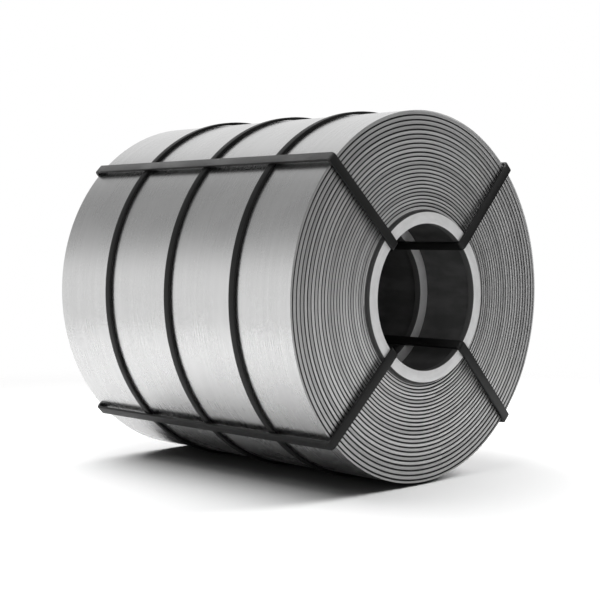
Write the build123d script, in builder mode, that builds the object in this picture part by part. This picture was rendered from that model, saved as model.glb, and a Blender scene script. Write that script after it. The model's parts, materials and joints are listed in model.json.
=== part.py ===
# Steel coil lying on its side: strip wound on a ringed core, held by body straps and eye straps.
# The coil's axis runs along X, with the end that faces the viewer at +X.
# The origin is on the ground under the middle of the coil, with +Z up.
import os
from math import sqrt

from build123d import *

# Wound strip
coil_diameter = 1290.0
coil_width = 1250.0
turn_groove_count = 3
turn_groove_depth = 4.0

# Core: a tube with flat stiffening rings inside it
bore_diameter = 508.0
ring_height = 42.0
ring_width = 25.0
ring_stand_out = 15.0
ring_count = 6
tube_wall = 8.0

# Straps round the body of the coil
body_strap_count = 3
body_strap_width = 26.0
body_strap_thickness = 10.0
near_strap_margin = 269.0
far_strap_margin = 304.0

# Straps through the eye of the coil
eye_strap_count = 4
first_eye_strap_angle = 45.0
eye_strap_width = 36.0
eye_strap_thickness = 10.0

# Play between pieces that seat on each other
fit_gap = 0.2

# Radii, from the eye outwards
bore_radius = bore_diameter / 2
ring_radius = bore_radius + ring_height
tube_inner_radius = ring_radius + fit_gap
tube_outer_radius = tube_inner_radius + tube_wall
coil_inner_radius = tube_outer_radius + fit_gap
coil_radius = coil_diameter / 2
body_strap_inner_radius = coil_radius + fit_gap
body_strap_outer_radius = body_strap_inner_radius + body_strap_thickness

# The coil rests on its body straps, so they set the height of its axis
axis_height = body_strap_outer_radius
coil_axis = Axis((0, 0, axis_height), (1, 0, 0))
section_plane = Plane(origin=(0, 0, axis_height), x_dir=(1, 0, 0), z_dir=(0, -1, 0))

# Bent rings and bands close at the top of the coil or beside it, at even steps on the way from one
# eye strap to the next, so that their joints are not in line
eye_strap_turn = 360 / eye_strap_count
closing_turn = eye_strap_turn / body_strap_count


def write(piece, name):
    """Label a finished piece and write it to its own file."""
    piece.part.label = name
    export_step(piece.part, f"parts/{name}.step")


def spaced(first, last, count):
    """Places of count pieces, evenly spaced from first to last."""
    step = (last - first) / (count - 1)
    return [first + step * index for index in range(count)]


os.makedirs("parts", exist_ok=True)

# Coil: one turned solid, with a V groove on both ends at each boundary between groups of turns
coil_wall = coil_radius - coil_inner_radius
turn_pitch = coil_wall / (turn_groove_count + 1)
with BuildPart() as coil:
    with BuildSketch(section_plane):
        with Locations((0, coil_inner_radius + coil_wall / 2)):
            Rectangle(coil_width, coil_wall)
            with GridLocations(coil_width, turn_pitch, 2, turn_groove_count):
                groove_side = turn_groove_depth * sqrt(2)
                Rectangle(groove_side, groove_side, rotation=45, mode=Mode.SUBTRACT)
    revolve(axis=coil_axis)
write(coil, "coil")

# Core tube: as long as the coil is wide, so that its ends show as a thin line round the end rings
with BuildPart() as core_tube:
    with BuildSketch(section_plane):
        with Locations((0, tube_inner_radius + tube_wall / 2)):
            Rectangle(coil_width, tube_wall)
    revolve(axis=coil_axis)
write(core_tube, "core_tube")

# Core rings: the two end rings stand out of the tube, the others are evenly spaced between them
end_ring_place = coil_width / 2 + ring_stand_out - ring_width / 2
ring_closing_plane = section_plane.rotated((closing_turn, 0, 0))
for number, place in enumerate(spaced(end_ring_place, -end_ring_place, ring_count), start=1):
    with BuildPart() as core_ring:
        with BuildSketch(ring_closing_plane):
            with Locations((place, bore_radius + ring_height / 2)):
                Rectangle(ring_width, ring_height)
        revolve(axis=coil_axis)
    write(core_ring, f"core_ring_{number}")

# Body straps: flat bands round the outside of the coil, each closed one step further round it
first_strap_place = coil_width / 2 - near_strap_margin
last_strap_place = far_strap_margin - coil_width / 2
for number, place in enumerate(spaced(first_strap_place, last_strap_place, body_strap_count), start=1):
    closing_plane = section_plane.rotated((closing_turn * (number - 1), 0, 0))
    with BuildPart() as body_strap:
        with BuildSketch(closing_plane):
            with Locations((place, body_strap_inner_radius + body_strap_thickness / 2)):
                Rectangle(body_strap_width, body_strap_thickness)
        revolve(axis=coil_axis)
    write(body_strap, f"body_strap_{number}")

# Eye straps: closed loops over the body straps, down the ends, over the end rings and back through
# the eye. A flat strap touches the round bore with its two edges, so it lies a little inside it.
outer_run = body_strap_outer_radius + fit_gap
eye_run = sqrt(bore_radius**2 - (eye_strap_width / 2) ** 2) - fit_gap
coil_end = coil_width / 2 + fit_gap
ring_face = coil_width / 2 + ring_stand_out + fit_gap
loop_corners = [
    (coil_end, outer_run),
    (ring_face, ring_radius),
    (ring_face, eye_run),
    (-ring_face, eye_run),
    (-ring_face, ring_radius),
    (-coil_end, outer_run),
]
for number in range(1, eye_strap_count + 1):
    strap_angle = first_eye_strap_angle + eye_strap_turn * (number - 1)
    with BuildPart() as eye_strap:
        with BuildSketch(section_plane.rotated((strap_angle - 90, 0, 0))):
            with BuildLine():
                Polyline(*loop_corners, close=True)
            make_face()
            offset(amount=eye_strap_thickness, kind=Kind.INTERSECTION)
            with BuildLine():
                Polyline(*loop_corners, close=True)
            make_face(mode=Mode.SUBTRACT)
        extrude(amount=eye_strap_width / 2, both=True)
    write(eye_strap, f"eye_strap_{number}")
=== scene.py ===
# %% [markdown]
# # A strapped steel coil
#
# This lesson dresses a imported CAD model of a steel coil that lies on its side: steel strip wound on a
# core of a dark tube and pale rings, held by three bands round its body and four bands through its
# eye. The CAD model is the fixed frame. Each piece below is modelled again with Blender's mesh
# operators, at the same place and size, so that it can have rounded edges, real turns of strip and
# finishes of its own.

# %% Load the frame
import json
from math import atan2, cos, floor, hypot, pi, radians, sin, sqrt, tau

import bmesh
import bpy
from mathutils import Matrix, Vector


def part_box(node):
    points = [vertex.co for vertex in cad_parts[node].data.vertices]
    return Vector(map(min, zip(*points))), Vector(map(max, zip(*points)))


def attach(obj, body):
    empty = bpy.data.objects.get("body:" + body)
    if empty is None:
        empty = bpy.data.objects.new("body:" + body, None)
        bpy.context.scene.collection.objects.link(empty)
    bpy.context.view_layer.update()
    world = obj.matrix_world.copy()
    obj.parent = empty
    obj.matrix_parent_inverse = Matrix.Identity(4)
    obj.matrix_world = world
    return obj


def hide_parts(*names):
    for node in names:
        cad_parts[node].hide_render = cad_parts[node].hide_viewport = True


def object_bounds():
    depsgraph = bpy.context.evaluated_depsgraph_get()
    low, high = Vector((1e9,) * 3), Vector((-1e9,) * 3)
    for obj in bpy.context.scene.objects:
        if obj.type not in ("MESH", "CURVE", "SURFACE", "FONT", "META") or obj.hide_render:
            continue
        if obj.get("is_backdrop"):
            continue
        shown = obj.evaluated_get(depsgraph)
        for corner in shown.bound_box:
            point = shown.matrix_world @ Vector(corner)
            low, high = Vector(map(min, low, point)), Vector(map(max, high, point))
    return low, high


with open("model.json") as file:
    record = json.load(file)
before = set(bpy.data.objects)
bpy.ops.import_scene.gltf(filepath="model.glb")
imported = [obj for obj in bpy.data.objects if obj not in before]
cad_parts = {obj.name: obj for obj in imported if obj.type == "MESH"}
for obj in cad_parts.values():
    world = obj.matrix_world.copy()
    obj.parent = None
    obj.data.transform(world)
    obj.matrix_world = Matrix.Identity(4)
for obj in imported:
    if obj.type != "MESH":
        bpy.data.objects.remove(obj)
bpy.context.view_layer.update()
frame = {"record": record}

# %% [markdown]
# ## Measure the CAD model
#
# Everything here is turned about one level axis, so a few lengths describe it: the height of that
# axis, and a radius and an end for each piece. They could be typed in, but reading them from the
# boxes of the CAD nodes keeps this scene true to the frame when a size changes there. Only the play
# between seated pieces and the radius of the rings' bore are typed in, because no box shows them.

# %% Axis, radii and ends
strip_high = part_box("coil")[1]
band_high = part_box("body_strap_1")[1]
tube_low, tube_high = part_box("core_tube")
ring_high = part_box("core_ring_1")[1]

axis_height = frame["record"]["mounts"][0]["pos_m"][2]
axis_point = Vector((0, 0, axis_height))
strip_end = strip_high.x
strip_radius = strip_high.z - axis_height
band_radius = band_high.z - axis_height
tube_radius = tube_high.z - axis_height
ring_radius = max(ring_high.z - axis_height, ring_high.y)
ring_end = ring_high.x
fit_gap = 0.0002
bore_radius = 0.254
print(f"axis at {axis_height:.4f} m, strip radius {strip_radius:.4f} m, band radius {band_radius:.4f} m")
print(f"tube radius {tube_radius:.4f} m, ring radius {ring_radius:.4f} m, ring face at x {ring_end:.4f} m")

# %% [markdown]
# ## Point the camera
#
# The reference picture looks at the coil from a little above its axis, about 46 degrees to one side,
# through a long lens. A long lens keeps the far end of the coil nearly as large as the near end. The
# picture is square, so the sensor's width is also its height.

# %% Camera
camera_data = bpy.data.cameras.new("picture_camera")
camera_data.sensor_width = 36
camera_data.lens = 80.31
camera_place = Vector((3.6405, -3.5408, 0.8813))
camera_look = Vector((-0.7152, 0.6972, -0.0509))
camera = bpy.data.objects.new("picture_camera", camera_data)
camera.location = camera_place
camera.rotation_euler = camera_look.to_track_quat("-Z", "Y").to_euler()
bpy.context.scene.collection.objects.link(camera)
bpy.context.scene.camera = camera
print(f"camera {camera_place.length:.2f} m from the middle of the floor")

# %% [markdown]
# ## A helper that settles a piece into the frame
#
# Every piece ends the same way: doubles are merged, faces are turned outwards, and edges sharper than
# a set angle stay crisp while the rest is shaded smooth. The piece then rides on the CAD body and
# stands for the CAD nodes that it replaces. One helper does this, so that no piece forgets a step.

# %% Helper: settle a piece
merge_distance = 0.00001
crisp_angle = radians(32)


def settle(name, edit, nodes):
    """Make an object from a finished bmesh, riding on the coil in place of CAD nodes."""
    bmesh.ops.remove_doubles(edit, verts=edit.verts, dist=merge_distance)
    bmesh.ops.recalc_face_normals(edit, faces=edit.faces)
    open_edges = sum(not edge.is_manifold for edge in edit.edges)
    mesh = bpy.data.meshes.new(name)
    edit.to_mesh(mesh)
    edit.free()
    mesh.shade_smooth()
    mesh.set_sharp_from_angle(angle=crisp_angle)
    mesh.calc_loop_triangles()
    piece = bpy.data.objects.new(name, mesh)
    bpy.context.scene.collection.objects.link(piece)
    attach(piece, "root")
    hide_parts(*nodes)
    print(f"{name}: {len(mesh.loop_triangles)} triangles, {open_edges} open edges")
    return piece


print(f"doubles merge within {merge_distance * 1000} mm")

# %% [markdown]
# ## One end of the wound strip
#
# The end of a coil shows the edges of all its turns. A flat disc with a bump map would shine like one
# plate, so the turns are real here. A single edge along a radius is divided into turns, a bevel of
# its points opens a gap between neighbours, and a few cuts in each turn leave room for a rounded
# edge. Spin then sweeps the line round the axis. Its dvec moves it outwards by one turn per round, so
# the turns form a true spiral, as on a real coil. The sweep ends one turn further out than it starts,
# so spin can't merge it. The line is longer than the coil's wall, and what is too much is trimmed off
# in the next step.

# %% Spiral of turns
turn_count = 24
round_steps = 176
gap_share = 0.46
gap_segments = 2
crown_cuts = 3
turns_inside = 2.5
turns_outside = 1.5
tail_angle = radians(-80)

strip_wall = strip_radius - tube_radius
turn_pitch = strip_wall / turn_count
gap_width = gap_share * turn_pitch
tail_direction = Vector((0, cos(tail_angle), sin(tail_angle)))

coil_edit = bmesh.new()
line_reach = (tube_radius - turns_inside * turn_pitch, strip_radius + turns_outside * turn_pitch)
end_centre = axis_point + Vector((strip_end, 0, 0))
line_ends = [coil_edit.verts.new(end_centre + tail_direction * radius) for radius in line_reach]
radius_line = coil_edit.edges.new(line_ends)
line_turns = round(turn_count + turns_inside + turns_outside)
bmesh.ops.subdivide_edges(coil_edit, edges=[radius_line], cuts=line_turns - 1)
turn_joints = [vert for vert in coil_edit.verts if len(vert.link_edges) == 2]
bmesh.ops.bevel(
    coil_edit,
    geom=turn_joints,
    affect="VERTICES",
    offset=gap_width / 2,
    segments=gap_segments,
    profile=0.5,
    material=-1,
)
turn_edges = [edge for edge in coil_edit.edges if edge.calc_length() > gap_width]
bmesh.ops.subdivide_edges(coil_edit, edges=turn_edges, cuts=crown_cuts)
swept = bmesh.ops.spin(
    coil_edit,
    geom=coil_edit.verts[:] + coil_edit.edges[:],
    cent=axis_point,
    axis=(1, 0, 0),
    dvec=tail_direction * turn_pitch / round_steps,
    angle=tau,
    steps=round_steps,
)
print(f"{turn_count} turns of {turn_pitch * 1000:.2f} mm, {len(coil_edit.faces)} faces before trimming")

# %% [markdown]
# ## Trim the spiral
#
# A spiral has a step where it starts and a step where it ends. Inside, the strip is pressed flat on
# the tube, so points below the tube's radius are drawn out to it. Outside, the last turn's tail makes
# a low step across the body, as high as the cuts in a turn are apart. It lies underneath, where coils
# are set down on their tails so that they can't spring open. Points that end on the same spot are
# merged, which also joins each turn to the next one where the spin began.

# %% Trimmed spiral
tail_step = (turn_pitch - gap_width) / (crown_cuts + 1)
seam_margin = 0.25 / round_steps


def polar(point):
    """Distance of a point from the coil's axis, and the share of a round that it lies past the tail."""
    height = point.z - axis_height
    share = (atan2(height, point.y) - tail_angle) / tau
    return hypot(point.y, height), share - floor(share + seam_margin)


def set_radius(vert, radius):
    """Move a point straight in or out from the coil's axis."""
    scale = radius / polar(vert.co)[0]
    vert.co.y *= scale
    vert.co.z = axis_height + (vert.co.z - axis_height) * scale


round_end = {item for item in swept["geom_last"] if isinstance(item, bmesh.types.BMVert)}
for vert in coil_edit.verts:
    radius, share = polar(vert.co)
    rise = 1 if vert in round_end else share
    limit = strip_radius - tail_step * (1 - rise)
    set_radius(vert, min(max(radius, tube_radius), limit))
bmesh.ops.remove_doubles(coil_edit, verts=coil_edit.verts, dist=merge_distance)
print(f"{len(coil_edit.faces)} faces after trimming, tail step {tail_step * 1000:.2f} mm")

# %% [markdown]
# ## Open the gaps between the turns
#
# Strip has rounded edges, so between two turns lies a narrow valley. The bevel left a point in the
# middle of each gap, and pushing these points in makes each gap a V. Extruding the gaps would give
# straight grooves, but from the side their floors would stay in view, and on a real coil they never
# do. Where the spiral runs out at a rim, its last gap gets shallower and ends.

# %% Gaps between the turns
gap_depth = 0.0065
gap_start = (1 - gap_share / 2) / 2


def winding(point):
    """Number of the turn that a point of the end lies on. Gaps lie half-way between whole numbers."""
    radius, share = polar(point)
    return (radius - tube_radius) / turn_pitch - share


gap_points = set()
for vert in coil_edit.verts:
    radius, turn = polar(vert.co)[0], winding(vert.co)
    if abs(turn - round(turn)) > gap_start and not vert.is_boundary:
        gap_points.add(vert)
        to_rim = min(strip_radius - radius, radius - tube_radius)
        vert.co.x -= gap_depth * min(1, to_rim / gap_width)
print(f"{len(gap_points)} points pushed in by {gap_depth * 1000:.1f} mm")

# %% [markdown]
# ## Uneven turns with rounded edges
#
# Strip wanders sideways by a millimetre while it is wound, so no turn ends level with its neighbours.
# The wander follows the strip's own length, which keeps it smooth along each turn. The slit edge is
# also a little slanted, because the knives pull it over to one side, and rounded, which spreads its
# reflections in a fan across the turns. All this only moves points inwards, so the coil keeps its
# width.

# %% Wander, slant and crown
wander = 0.0010
slant = 0.0014
crown = 0.0006
quick_sway, slow_sway = 2.3, 1.37

for vert in set(coil_edit.verts) - gap_points:
    if vert.is_boundary:
        continue
    turn = winding(vert.co)
    across = (turn - round(turn)) / (1 - gap_share)
    wound_length = round(turn) + polar(vert.co)[1]
    sway = (2 + sin(quick_sway * wound_length) + sin(slow_sway * wound_length)) / 4
    vert.co.x -= wander * sway + slant * (across + 0.5) + crown * (2 * across) ** 2
print(f"turns wander by up to {wander * 1000:.1f} mm, with a crown of {crown * 1000:.1f} mm")

# %% [markdown]
# ## Looser turns outside
#
# Near the core the turns are pulled tight, and further out they lie looser. So far they are all as
# wide as each other, so every point is now moved along its radius by a formula that keeps the first
# and the last radius and widens the turns steadily in between.

# %% Looser outer turns
looseness = 1.5

for vert in coil_edit.verts:
    share = (polar(vert.co)[0] - tube_radius) / strip_wall
    set_radius(vert, tube_radius + strip_wall * (looseness**share - 1) / (looseness - 1))
print(f"the outermost turn is {looseness} times as wide as the innermost")

# %% [markdown]
# ## The body and the far end
#
# The rims of the near end are drawn along the axis to the far side. That makes the rolled face of the
# last turn, with the tail's step in it, and closes the coil inside, where it sits on the tube. The
# far end is a mirror image of the near one, and its rims meet the drawn ones point for point, so
# merging closes the mesh. Bridging the rims would do too, but it has to guess which points belong
# together and may twist the body. The faces of the body take the second material slot, and those of
# the ends keep the first.

# %% Whole coil
rolled_face_slot = 1

near_end = coil_edit.verts[:] + coil_edit.edges[:] + coil_edit.faces[:]
rims = [edge for edge in coil_edit.edges if edge.is_boundary]
drawn = bmesh.ops.extrude_edge_only(coil_edit, edges=rims)["geom"]
far_rims = [item for item in drawn if isinstance(item, bmesh.types.BMVert)]
bmesh.ops.translate(coil_edit, verts=far_rims, vec=(-2 * strip_end, 0, 0))
bmesh.ops.mirror(coil_edit, geom=near_end, axis="X", merge_dist=0)
for face in coil_edit.faces:
    if abs(face.calc_center_median().x) < strip_end / 2:
        face.material_index = rolled_face_slot
wound_strip = settle("wound_strip", coil_edit, ["coil"])

# %% [markdown]
# ## Turned pieces: tube, rings and body bands
#
# The tube, its stiffening rings and the bands round the body all have a plain rectangle as their
# section. A grid of one face makes that rectangle, spin turns its four sides about the axis, and a
# bevel takes the sharpness off the long edges, as grinding and rolling do. A lathe-like modifier
# could do the same, but a spun mesh needs no live modifier and shows its edges at once.

# %% Helper: turn a rectangle about the coil's axis
turned_steps = 192
edge_segments = 3


def turned(low_x, high_x, low_radius, high_radius, edge_round):
    """Mesh of a rectangle of the given ends and radii, turned about the axis, with rounded edges."""
    edit = bmesh.new()
    bmesh.ops.create_grid(edit, x_segments=1, y_segments=1, size=0.5)
    bmesh.ops.scale(edit, verts=edit.verts, vec=(high_x - low_x, high_radius - low_radius, 1))
    middle = Vector(((low_x + high_x) / 2, 0, axis_height + (low_radius + high_radius) / 2))
    bmesh.ops.rotate(edit, verts=edit.verts, matrix=Matrix.Rotation(pi / 2, 3, "X"))
    bmesh.ops.translate(edit, verts=edit.verts, vec=middle)
    bmesh.ops.delete(edit, geom=edit.faces[:], context="FACES_ONLY")
    bmesh.ops.spin(
        edit,
        geom=edit.verts[:] + edit.edges[:],
        cent=axis_point,
        axis=(1, 0, 0),
        angle=tau,
        steps=turned_steps,
        use_merge=True,
    )
    bmesh.ops.remove_doubles(edit, verts=edit.verts, dist=merge_distance)
    bmesh.ops.recalc_face_normals(edit, faces=edit.faces)
    corners = [edge for edge in edit.edges if edge.calc_face_angle(0) > crisp_angle]
    bmesh.ops.bevel(
        edit,
        geom=corners,
        affect="EDGES",
        offset=edge_round,
        segments=edge_segments,
        profile=0.5,
        material=-1,
    )
    return edit


print(f"turned pieces get {turned_steps} steps and {edge_segments} faces across each edge")

# %% [markdown]
# ## Core tube
#
# The strip is wound on a tube that is rolled from thin plate. Its ends lie level with those of the
# coil, so only a dark line of it shows round the end rings, and its inside is seen through the eye.

# %% Core tube
tube_round = 0.0015
tube_inside = ring_radius + fit_gap
core_tube = settle(
    "primed_tube",
    turned(tube_low.x, tube_high.x, tube_inside, tube_radius, tube_round),
    ["core_tube"],
)

# %% [markdown]
# ## Core rings
#
# Six flat rings keep the tube round while the coil is wound on it and lifted by its eye. They are cut
# from plate and pressed in, and the two end ones stand out a little. Each takes its place from its
# own CAD node.

# %% Core rings
ring_round = 0.002
ring_count = 6
rings = []
for number in range(1, ring_count + 1):
    low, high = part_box(f"core_ring_{number}")
    ring_edit = turned(low.x, high.x, bore_radius, ring_radius, ring_round)
    rings.append(settle(f"steel_ring_{number}", ring_edit, [f"core_ring_{number}"]))

# %% [markdown]
# ## Body bands
#
# Three flat bands round the body keep the turns from springing open. They are drawn tight, so they
# lie on the strip all the way round, and their rounded edges catch a thin line of light.

# %% Body bands
band_round = 0.002
band_count = 3
band_inside = strip_radius + fit_gap
body_bands = []
for number in range(1, band_count + 1):
    low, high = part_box(f"body_strap_{number}")
    band_edit = turned(low.x, high.x, band_inside, band_radius, band_round)
    body_bands.append(settle(f"body_band_{number}", band_edit, [f"body_strap_{number}"]))

# %% [markdown]
# ## Bands through the eye
#
# Each of these bands is a closed loop: along the body over the other bands, down one end, over the
# rim of the ring and back through the eye. Its path has only six corners, so it starts as six points
# joined by edges. A bevel of the points rounds the bends, extruding the edges sideways makes the flat
# of the band, and solidify gives it thickness. A curve with a bevel profile would work too, but it
# twists at such tight bends.

# %% Eye bands
eye_band_width = 0.036
eye_band_thickness = 0.010
bend_radius = 0.004
bend_segments = 4
eye_band_degrees = (45, 135, 225, 315)

outer_run = band_radius + fit_gap
eye_run = sqrt(bore_radius**2 - (eye_band_width / 2) ** 2) - fit_gap
side_corners = [
    (strip_end + fit_gap, outer_run),
    (ring_end + fit_gap, ring_radius),
    (ring_end + fit_gap, eye_run),
]
path_corners = side_corners + [(-x, radius) for x, radius in reversed(side_corners)]


def eye_band(angle):
    """Mesh of the closed band that lies at one angle round the axis."""
    edit = bmesh.new()
    points = [edit.verts.new((x, -eye_band_width / 2, radius)) for x, radius in path_corners]
    for first, second in zip(points, points[1:] + points[:1]):
        edit.edges.new((first, second))
    bmesh.ops.bevel(
        edit,
        geom=points,
        affect="VERTICES",
        offset=bend_radius,
        segments=bend_segments,
        profile=0.5,
        material=-1,
    )
    made = bmesh.ops.extrude_edge_only(edit, edges=edit.edges[:])["geom"]
    far_side = [item for item in made if isinstance(item, bmesh.types.BMVert)]
    bmesh.ops.translate(edit, verts=far_side, vec=(0, eye_band_width, 0))
    bmesh.ops.recalc_face_normals(edit, faces=edit.faces)
    bmesh.ops.solidify(edit, geom=edit.faces[:], thickness=-eye_band_thickness)
    bmesh.ops.recalc_face_normals(edit, faces=edit.faces)
    long_edges = [edge for edge in edit.edges if edge.calc_face_angle(0) > crisp_angle]
    bmesh.ops.bevel(
        edit,
        geom=long_edges,
        affect="EDGES",
        offset=band_round,
        segments=edge_segments,
        profile=0.5,
        material=-1,
    )
    turn = Matrix.Rotation(angle - pi / 2, 4, "X")
    bmesh.ops.transform(edit, verts=edit.verts, matrix=Matrix.Translation(axis_point) @ turn)
    return edit


eye_bands = []
for number, degrees in enumerate(eye_band_degrees, start=1):
    node = f"eye_strap_{number}"
    eye_bands.append(settle(f"eye_band_{number}", eye_band(radians(degrees)), [node]))

# %% [markdown]
# ## Shader maths as arithmetic
#
# Shader nodes can be wired by hand, but a formula is easier to read. The class below wraps one output
# socket. Arithmetic on it adds Math nodes, and its make method adds any other node, with its settings
# first and then the values or links of its sockets.

# %% Helper: a socket that does arithmetic
class Shade:
    """One output of a shader node, with arithmetic that adds Math nodes to its tree."""

    def __init__(self, tree, socket):
        self.tree = tree
        self.socket = socket

    @classmethod
    def make(cls, tree, kind, settings=None, sockets=None, out=0):
        """Add a node, set it up, link or fill its sockets, and wrap one of its outputs."""
        node = tree.nodes.new(kind)
        for name, value in (settings or {}).items():
            setattr(node, name, value)
        for name, value in (sockets or {}).items():
            if isinstance(value, Shade):
                tree.links.new(value.socket, node.inputs[name])
            else:
                node.inputs[name].default_value = value
        return cls(tree, node.outputs[out]) if node.outputs else None

    def math(self, operation, *others):
        """A Math node on this value and any others that the operation takes."""
        sockets = dict(enumerate((self, *others)))
        return Shade.make(self.tree, "ShaderNodeMath", {"operation": operation}, sockets)

    def reflected(self, operation, other):
        """The same, with this value as the second one."""
        return Shade.make(self.tree, "ShaderNodeMath", {"operation": operation}, {0: other, 1: self})

    def __add__(self, other):
        return self.math("ADD", other)

    def __radd__(self, other):
        return self.reflected("ADD", other)

    def __sub__(self, other):
        return self.math("SUBTRACT", other)

    def __rsub__(self, other):
        return self.reflected("SUBTRACT", other)

    def __mul__(self, other):
        return self.math("MULTIPLY", other)

    def __rmul__(self, other):
        return self.reflected("MULTIPLY", other)

    def __truediv__(self, other):
        return self.math("DIVIDE", other)

    def __rtruediv__(self, other):
        return self.reflected("DIVIDE", other)

    def ramp(self, low, high):
        """Smooth step of this value, from 0 at low to 1 at high."""
        settings = {"interpolation_type": "SMOOTHSTEP"}
        sockets = {"Value": self, "From Min": low, "From Max": high}
        return Shade.make(self.tree, "ShaderNodeMapRange", settings, sockets)

    def blend(self, low, high):
        """Colour between two colours, with this value as the share of the second."""
        settings = {"data_type": "RGBA"}
        return Shade.make(self.tree, "ShaderNodeMix", settings, {0: self, 6: low, 7: high}, out=2)


print("socket arithmetic ready")

# %% [markdown]
# ## What the finishes share
#
# Most finishes here follow the coil's axis: lines run round it, and some go by the distance from it.
# So one helper turns Object coordinates into a place along the axis, a distance from it and an angle
# round it, and others make noise and bump from these. A density says how fine a noise is along the
# axis or a radius, per metre, and a curl how fine it is round the axis, per radian: a low curl
# stretches it into lines.

# %% Helpers: materials, coordinates, noise and bump
def grey(level):
    """A neutral colour."""
    return (level, level, level, 1)


def new_material(name):
    """An empty material and its node tree."""
    material = bpy.data.materials.new(name)
    material.use_nodes = True
    material.node_tree.nodes.clear()
    return material, material.node_tree


def finish_material(tree, sockets):
    """Feed a Principled shader and the material's output."""
    shader = Shade.make(tree, "ShaderNodeBsdfPrincipled", sockets=sockets)
    Shade.make(tree, "ShaderNodeOutputMaterial", sockets={"Surface": shader})


def coil_coordinates(tree):
    """Place along the axis, distance from it, and angle round it with its seam below, on the floor side."""
    place = Shade.make(tree, "ShaderNodeTexCoord", out="Object")
    x, y, z = (Shade.make(tree, "ShaderNodeSeparateXYZ", sockets={0: place}, out=axis) for axis in "XYZ")
    height = z - axis_height
    radius = (y * y + height * height).math("SQRT")
    return x, radius, y.math("ARCTAN2", height)


def noise(tree, across, along, detail):
    """Noise on two coordinates that are already scaled."""
    vector = Shade.make(tree, "ShaderNodeCombineXYZ", sockets={0: across, 1: along})
    sockets = {"Vector": vector, "Scale": 1.0, "Detail": detail}
    return Shade.make(tree, "ShaderNodeTexNoise", {"noise_dimensions": "2D"}, sockets)


def bump(tree, height, distance):
    """Normal of a surface that a height roughens, by at most a distance in metres."""
    sockets = {"Strength": 1.0, "Distance": distance, "Height": height}
    return Shade.make(tree, "ShaderNodeBump", sockets=sockets)


print("shader helpers ready")

# %% [markdown]
# ## Rolled face of the strip
#
# Cold-rolled strip is bright but not a mirror: the ground rolls print fine lines along its length,
# which run round the coil. Two noises stretched round the axis give fine lines and broad streaks, and
# a third one gives faint clouds of oil. They move the roughness and the tone by only a little.

# %% Rolled face
line_density, streak_density, cloud_density = 900, 55, 5
line_curl, streak_curl, cloud_curl = 3, 0.8, 4
rolled_dark, rolled_pale = grey(0.595), grey(0.635)
rolled_roughness, line_roughness, cloud_roughness = 0.235, 0.03, 0.05
line_height = 0.000004

rolled_strip, tree = new_material("rolled_strip")
x, _, angle = coil_coordinates(tree)
fine_lines = noise(tree, x * line_density, angle * line_curl, detail=3)
broad_streaks = noise(tree, x * streak_density, angle * streak_curl, detail=2)
oil_clouds = noise(tree, x * cloud_density, angle * cloud_curl, detail=4)
tone = 0.5 * broad_streaks + 0.4 * oil_clouds + 0.1 * fine_lines
finish_material(
    tree,
    {
        "Base Color": tone.ramp(0.3, 0.7).blend(rolled_dark, rolled_pale),
        "Metallic": 1.0,
        "Roughness": rolled_roughness + line_roughness * fine_lines + cloud_roughness * oil_clouds,
        "Normal": bump(tree, fine_lines, line_height),
    },
)
print("rolled face ready")

# %% [markdown]
# ## Slit edges of the turns
#
# The ends show where the strip was slit: duller metal, torn across by the shears, a bit different
# from turn to turn. The winding number from the modelling step returns here as a formula, so each
# turn gets a tone of its own. Anything below the end's own level is darkened with its depth, down to
# near black and without metal shine: painted shade in the gaps between the turns.

# %% Slit edges
shade_start, shade_end = 0.0024, 0.0037
mark_density, mark_curl = 300, 500
patch_density, patch_curl = 12, 3
edge_dark, edge_pale, gap_shade_black = grey(0.37), grey(0.55), grey(0.006)
edge_roughness, mark_roughness, gap_shade_roughness = 0.42, 0.1, 0.3
mark_height = 0.0001

slit_edge, tree = new_material("slit_edge")
x, radius, angle = coil_coordinates(tree)
depth = strip_end - x.math("ABSOLUTE")
# Painted shade: points below the end's own level turn near black with depth, as shade in the gaps.
gap_shade = depth.ramp(shade_start, shade_end)
past_tail = ((pi / 2 - tail_angle - angle) / tau).math("FRACT")
wall_share = (radius - tube_radius) / strip_wall
turns_out = turn_count * (1 + (looseness - 1) * wall_share).math("LOGARITHM", looseness)
turn_number = (turns_out - past_tail + 0.5).math("FLOOR")
turn_tone = Shade.make(tree, "ShaderNodeTexWhiteNoise", {"noise_dimensions": "1D"}, {"W": turn_number})
shear_marks = noise(tree, radius * mark_density, angle * mark_curl, detail=2)
patches = noise(tree, radius * patch_density, angle * patch_curl, detail=3)
tone = 0.5 * turn_tone + 0.3 * patches + 0.2 * shear_marks
edge_colour = tone.ramp(0.15, 0.85).blend(edge_dark, edge_pale)
finish_material(
    tree,
    {
        "Base Color": gap_shade.blend(edge_colour, gap_shade_black),
        "Metallic": 1.0 - gap_shade,
        "Roughness": edge_roughness + mark_roughness * shear_marks + gap_shade_roughness * gap_shade,
        "Normal": bump(tree, shear_marks, mark_height),
    },
)
wound_strip.data.materials.append(slit_edge)
wound_strip.data.materials.append(rolled_strip)
print("slit edges ready")

# %% [markdown]
# ## Primer of the tube
#
# The tube is painted with dark matt primer. It is a quick coat, so it is uneven: a slow noise makes
# it blotchy, and a finer one, stretched round the axis, leaves the marks of the brush.

# %% Tube primer
brush_density, brush_curl = 90, 6
blotch_density, blotch_curl = 7, 5
primer_dark, primer_pale = grey(0.055), grey(0.085)
primer_roughness, brush_roughness = 0.55, 0.15
primer_gloss = 0.25
brush_height = 0.0002

tube_primer, tree = new_material("tube_primer")
x, _, angle = coil_coordinates(tree)
brush_marks = noise(tree, x * brush_density, angle * brush_curl, detail=3)
blotches = noise(tree, x * blotch_density, angle * blotch_curl, detail=4)
finish_material(
    tree,
    {
        "Base Color": blotches.ramp(0.3, 0.7).blend(primer_dark, primer_pale),
        "Roughness": primer_roughness + brush_roughness * brush_marks,
        "Specular IOR Level": primer_gloss,
        "Normal": bump(tree, brush_marks, brush_height),
    },
)
core_tube.data.materials.append(tube_primer)
print("tube primer ready")
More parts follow.
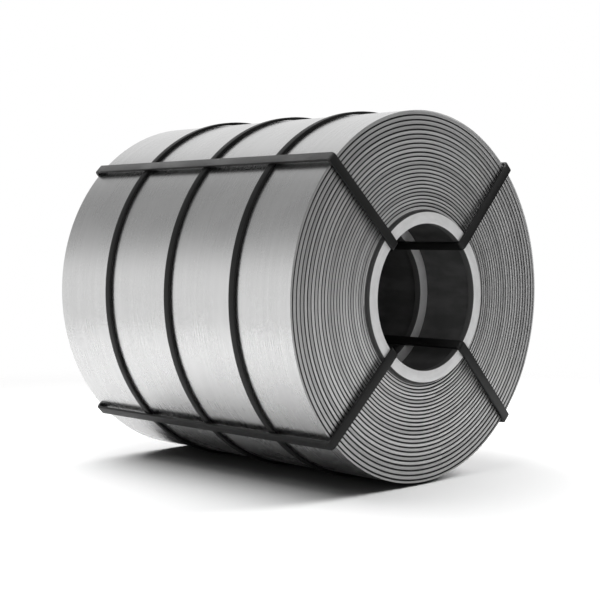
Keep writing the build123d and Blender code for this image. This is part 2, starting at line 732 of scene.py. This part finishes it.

# %% [markdown]
# ## Bright faces of the rings
#
# The bore and the outside of the rings are painted near black, as painted shade on those sides, while
# their faces are turned bright: pale satin metal with faint turning lines. A second material could be
# given to the faces, but the distance from the axis tells face and sides apart just as well, because
# the rounded edges between them are only two millimetres wide.

# %% Ring steel
turning_density, turning_curl = 1500, 0.7
handling_density, handling_curl = 40, 5
face_edge_reach = (0.0006, 0.0022)
ring_side_shade, bare_dark, bare_pale = grey(0.05), grey(0.61), grey(0.72)
side_roughness, bare_smoothness, turning_roughness = 0.58, 0.1, 0.1
bare_metal = 0.35
turning_height = 0.00005

ring_steel, tree = new_material("ring_steel")
x, radius, angle = coil_coordinates(tree)
turning_place = radius * turning_density + x * turning_density
turning_lines = noise(tree, turning_place, angle * turning_curl, detail=2)
handling_place = radius * handling_density + x * handling_density
handling = noise(tree, handling_place, angle * handling_curl, detail=4)
# Painted shade: the rings' bore and outside are painted near black, and only the faces keep the bright
# colour.
ring_face_share = (radius - bore_radius).ramp(*face_edge_reach) * (ring_radius - radius).ramp(*face_edge_reach)
tone = 0.6 * handling + 0.4 * turning_lines
bare_colour = tone.ramp(0.25, 0.75).blend(bare_dark, bare_pale)
finish_material(
    tree,
    {
        "Base Color": ring_face_share.blend(ring_side_shade, bare_colour),
        "Metallic": bare_metal * ring_face_share,
        "Roughness": side_roughness - bare_smoothness * ring_face_share + turning_roughness * turning_lines,
        "Normal": bump(tree, turning_lines, turning_height),
    },
)
for ring in rings:
    ring.data.materials.append(ring_steel)
print("ring steel ready")

# %% [markdown]
# ## Black bands
#
# The bands are lacquered black. Lacquer is glossier where it is thick and greyer where it has been
# rubbed, so a slow noise moves its gloss and its tone, and a fine one breaks up the reflections.

# %% Band lacquer
rubbed_density, peel_density = 9.0, 420.0
lacquer_dark, lacquer_worn = grey(0.0035), grey(0.0065)
lacquer_roughness, rubbed_roughness = 0.36, 0.16
lacquer_gloss = 0.22
peel_height = 0.00005

band_lacquer, tree = new_material("band_lacquer")
place = Shade.make(tree, "ShaderNodeTexCoord", out="Object")
sockets = {"Vector": place, "Scale": rubbed_density, "Detail": 4.0}
rubbed = Shade.make(tree, "ShaderNodeTexNoise", sockets=sockets)
sockets = {"Vector": place, "Scale": peel_density, "Detail": 2.0}
orange_peel = Shade.make(tree, "ShaderNodeTexNoise", sockets=sockets)
finish_material(
    tree,
    {
        "Base Color": rubbed.ramp(0.35, 0.75).blend(lacquer_dark, lacquer_worn),
        "Roughness": lacquer_roughness + rubbed_roughness * rubbed,
        "Specular IOR Level": lacquer_gloss,
        "Normal": bump(tree, orange_peel, peel_height),
    },
)
for band in body_bands + eye_bands:
    band.data.materials.append(band_lacquer)
print("band lacquer ready")

# %% [markdown]
# ## Floor
#
# The studio floor is plain and pale. A large disc would show an edge at the horizon, so it fades out
# with distance and lets the white surroundings show, which looks like a seamless paper sweep.

# %% Floor
floor_radius = 6.0
floor_segments = 96
floor_paleness = 0.08
fade_start = 1.6
fade_end = 3.8
floor_edit = bmesh.new()
bmesh.ops.create_circle(floor_edit, cap_ends=True, segments=floor_segments, radius=floor_radius)
floor_mesh = bpy.data.meshes.new("studio_floor")
floor_edit.to_mesh(floor_mesh)
floor_edit.free()
studio_floor = bpy.data.objects.new("studio_floor", floor_mesh)
bpy.context.scene.collection.objects.link(studio_floor)
studio_floor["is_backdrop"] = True

floor_paper, tree = new_material("floor_paper")
place = Shade.make(tree, "ShaderNodeTexCoord", out="Object")
away = Shade.make(tree, "ShaderNodeVectorMath", {"operation": "LENGTH"}, {0: place}, out="Value")
paper = Shade.make(tree, "ShaderNodeBsdfDiffuse", sockets={"Color": grey(floor_paleness)})
clear = Shade.make(tree, "ShaderNodeBsdfTransparent")
faded = Shade.make(
    tree, "ShaderNodeMixShader", sockets={0: away.ramp(fade_start, fade_end), 1: paper, 2: clear}
)
Shade.make(tree, "ShaderNodeOutputMaterial", sockets={"Surface": faded})
floor_mesh.materials.append(floor_paper)
print(f"floor of {floor_radius} m, fading from {fade_start} m")

# %% [markdown]
# ## Light
#
# Metal shows what it reflects, so its light is built as surroundings: a white room all round, a
# little dimmer overhead, with dark panels in it. One above the left shoulder of the coil draws the
# grey stripe along the body. Two more face the near end, whose rounded turns reflect them as darker
# fans on its right and its upper left. Rays that come straight from the camera meet plain white, so
# the panels show only as reflections, from any side.

# %% White room with dark panels
panels = [
    {"way": Vector((-0.715, -0.35, 0.605)), "edge": 34, "middle": 4, "level": 0.36},
    {"way": Vector((0.25, 0.94, -0.26)), "edge": 36, "middle": 20, "level": 0.0},
    {"way": Vector((0.92, 0.18, 0.36)), "edge": 34, "middle": 18, "level": 0.0},
]
overhead_level = 0.9
overhead_start, overhead_end = 0.15, 0.9

room = bpy.data.worlds.new("white_room")
room.use_nodes = True
tree = room.node_tree
tree.nodes.clear()
way = Shade.make(tree, "ShaderNodeTexCoord", out="Generated")
height = Shade.make(tree, "ShaderNodeSeparateXYZ", sockets={0: way}, out="Z")
overhead = height.ramp(overhead_start, overhead_end)
light = overhead.blend(grey(1.0), grey(overhead_level))
for panel in panels:
    sockets = {0: way, 1: panel["way"].normalized()}
    nearness = Shade.make(tree, "ShaderNodeVectorMath", {"operation": "DOT_PRODUCT"}, sockets, out="Value")
    inside = nearness.ramp(cos(radians(panel["edge"])), cos(radians(panel["middle"])))
    light = inside.blend(light, grey(panel["level"]))
straight_on = Shade.make(tree, "ShaderNodeLightPath", out="Is Camera Ray")
light = straight_on.blend(light, grey(1.0))
background = Shade.make(tree, "ShaderNodeBackground", sockets={"Color": light, "Strength": 1.0})
Shade.make(tree, "ShaderNodeOutputWorld", sockets={"Surface": background})
bpy.context.scene.world = room
bpy.context.scene.view_settings.view_transform = "Standard"
print("room lit")

# %% [markdown]
# ## Soft boxes for the floor
#
# A coil that lies on white paper throws a dark, narrow shadow, and an even white room alone gives
# only a faint one. Two large soft boxes add it: one hangs overhead and one stands off to the right.
# Light linking keeps them to the floor, and lets the first one reach the bands through the eye too,
# so that the metal goes on showing the room, while the whole coil still blocks them.

# %% Soft boxes
box_lights = [
    {
        "name": "soft_box_over",
        "place": Vector((-1.0, -0.9, 3.5)),
        "size": 4.0,
        "power": 2700,
        "lights": [studio_floor, *eye_bands],
    },
    {
        "name": "soft_box_right",
        "place": Vector((1.6, 3.0, 2.4)),
        "size": 2.0,
        "power": 2000,
        "lights": [studio_floor],
    },
]
for box in box_lights:
    receivers = bpy.data.collections.new(box["name"] + "_receivers")
    for piece in box["lights"]:
        receivers.objects.link(piece)
    light_data = bpy.data.lights.new(box["name"], "AREA")
    light_data.size = box["size"]
    light_data.energy = box["power"]
    soft_box = bpy.data.objects.new(box["name"], light_data)
    soft_box.location = box["place"]
    soft_box.rotation_euler = (axis_point - box["place"]).to_track_quat("-Z", "Y").to_euler()
    soft_box.visible_glossy = False
    soft_box.light_linking.receiver_collection = receivers
    bpy.context.scene.collection.objects.link(soft_box)
    print(f"{box['name']}: {box['size']} m wide, {box['power']} W")

# %% [markdown]
# ## Size of the dressed coil
#
# The box round the visible pieces of the dressed coil is printed.

# %% Size of the dressed coil
low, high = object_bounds()
print("visual box", [round(value, 4) for value in (*low, *high)])
